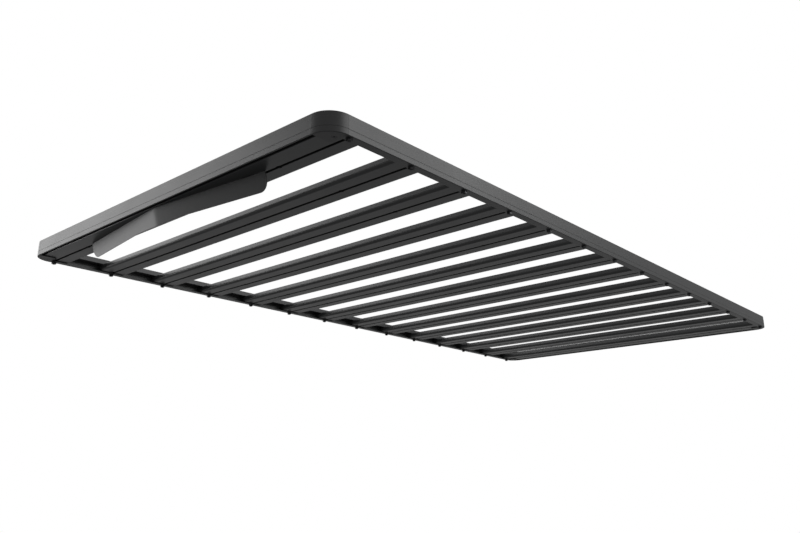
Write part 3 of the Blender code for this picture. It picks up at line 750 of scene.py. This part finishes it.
# Wind deflector. One aluminium sheet, folded to a shallow V, hangs under the front slat and
# leans back as it goes down. Its lower corners are cut round, its edges are dressed, and three
# tabs are folded back from its top edge and bolted into the slat's channel.
deflector_coat = coated_metal("deflector_coat", (0.034, 0.035, 0.036), (0.042, 0.043, 0.044),
                              0.34, peel_height=0.04 * MM)
deflector_shader = deflector_coat.node_tree.nodes["Principled BSDF"]
deflector_shader.inputs["Specular IOR Level"].default_value = 0.36
sheet, tab_top, tab_recess = 2.5, 2.5, 0.4
half_width, top_edge, fold_y = 423, 1.7, 18
sweep, lean, fold_radius = 0.1036, 0.31, 9
drop_middle, drop_knee, drop_end, knee_x, lower_radius = -46, -40.5, -43.5, 105, 28


def deflector_place(x, z):
    """A point of the front face, in metres, from its place across and its height in mm."""
    soft_x = sqrt(x * x + fold_radius ** 2) - fold_radius
    y = fold_y + sweep * soft_x + lean * (tab_top - z)
    return Vector((x * MM, cad_low.y + y * MM, z * MM))


def sheet_piece(name, surface, thickness, edge_radius):
    """A coated piece from a bmesh of its face: the wall goes behind it, with dressed edges, mm."""
    mesh = bpy.data.meshes.new(name)
    surface.to_mesh(mesh)
    surface.free()
    piece = bpy.data.objects.new(name, mesh)
    bpy.context.scene.collection.objects.link(piece)
    wall = piece.modifiers.new("wall", "SOLIDIFY")
    wall.thickness, wall.offset, wall.use_even_offset = thickness * MM, -1, True
    dress = piece.modifiers.new("dress", "BEVEL")
    dress.width, dress.segments = edge_radius * MM, 2
    dress.limit_method, dress.angle_limit = "ANGLE", radians(50)
    settle(piece)
    piece.data.materials.append(deflector_coat)
    return piece


lower_left = [(-half_width, drop_end, lower_radius), (-knee_x, drop_knee, 60)]
lower_right = [(-x, z, radius) for x, z, radius in reversed(lower_left)]
outline = rounded([(-half_width, top_edge, 1.5), *lower_left, (0, drop_middle, 4), *lower_right,
                   (half_width, top_edge, 1.5)])
blank = bmesh.new()
blank.faces.new([blank.verts.new((x, 0, z)) for x, z in outline])
# Lines down the blank, close together near the fold, where it bends most.
for x in (-60, -30, -16, -9, -5, -2, 0, 2, 5, 9, 16, 30, 60):
    bmesh.ops.bisect_plane(blank, geom=[*blank.verts, *blank.edges, *blank.faces],
                           plane_co=(x, 0, 0), plane_no=(1, 0, 0), dist=0.01)
for vertex in blank.verts:
    vertex.co = deflector_place(vertex.co.x, vertex.co.z)
bmesh.ops.recalc_face_normals(blank, faces=blank.faces)
if blank.faces[:][0].normal.y > 0:
    bmesh.ops.reverse_faces(blank, faces=blank.faces)
deflector = sheet_piece("deflector_sheet", blank, sheet, 0.5)

# Its tabs: strips that start low on the sheet's back, bend over and run under the slat.
tab_half_width, bend, tab_end = 14, 4, 83
tabs = bmesh.new()
for tab_x in (-350, 0, 350):
    path = [deflector_place(tab_x, z) + Vector((0, tab_recess * MM, 0)) for z in (-20, -8)]
    apex = deflector_place(tab_x, tab_top) + Vector((0, tab_recess * MM, 0))
    reach = Vector((apex.x, cad_low.y + tab_end * MM, apex.z))
    down, along = (path[0] - apex).normalized(), (reach - apex).normalized()
    half_angle = down.angle(along) / 2
    centre = apex + (down + along).normalized() * bend * MM / sin(half_angle)
    first = apex + down * bend * MM / tan(half_angle) - centre
    turn = pi - 2 * half_angle
    axis = first.cross(apex + along * bend * MM / tan(half_angle) - centre)
    path += [centre + Matrix.Rotation(turn * k / 6, 3, axis) @ first for k in range(7)]
    path.append(reach)
    sides = [deflector_place(tab_x + side * tab_half_width, 0) - deflector_place(tab_x, 0)
             for side in (-1, 1)]
    rows = [[tabs.verts.new(place + to_side) for to_side in sides] for place in path]
    for one, other in zip(rows, rows[1:]):
        tabs.faces.new((one[0], one[1], other[1], other[0]))
bmesh.ops.recalc_face_normals(tabs, faces=tabs.faces)
if sum(face.normal.z * face.calc_area() for face in tabs.faces) < 0:
    bmesh.ops.reverse_faces(tabs, faces=tabs.faces)
tab_piece = sheet_piece("deflector_tabs", tabs, sheet - tab_recess, 0.4)
finish_piece(deflector, "deflector_coat", "wind_deflector")
finish_piece(tab_piece, "deflector_coat", "wind_deflector")

for helper in (footed_section, plain_section, corner_section, inner_section, end_section):
    bpy.data.objects.remove(helper)
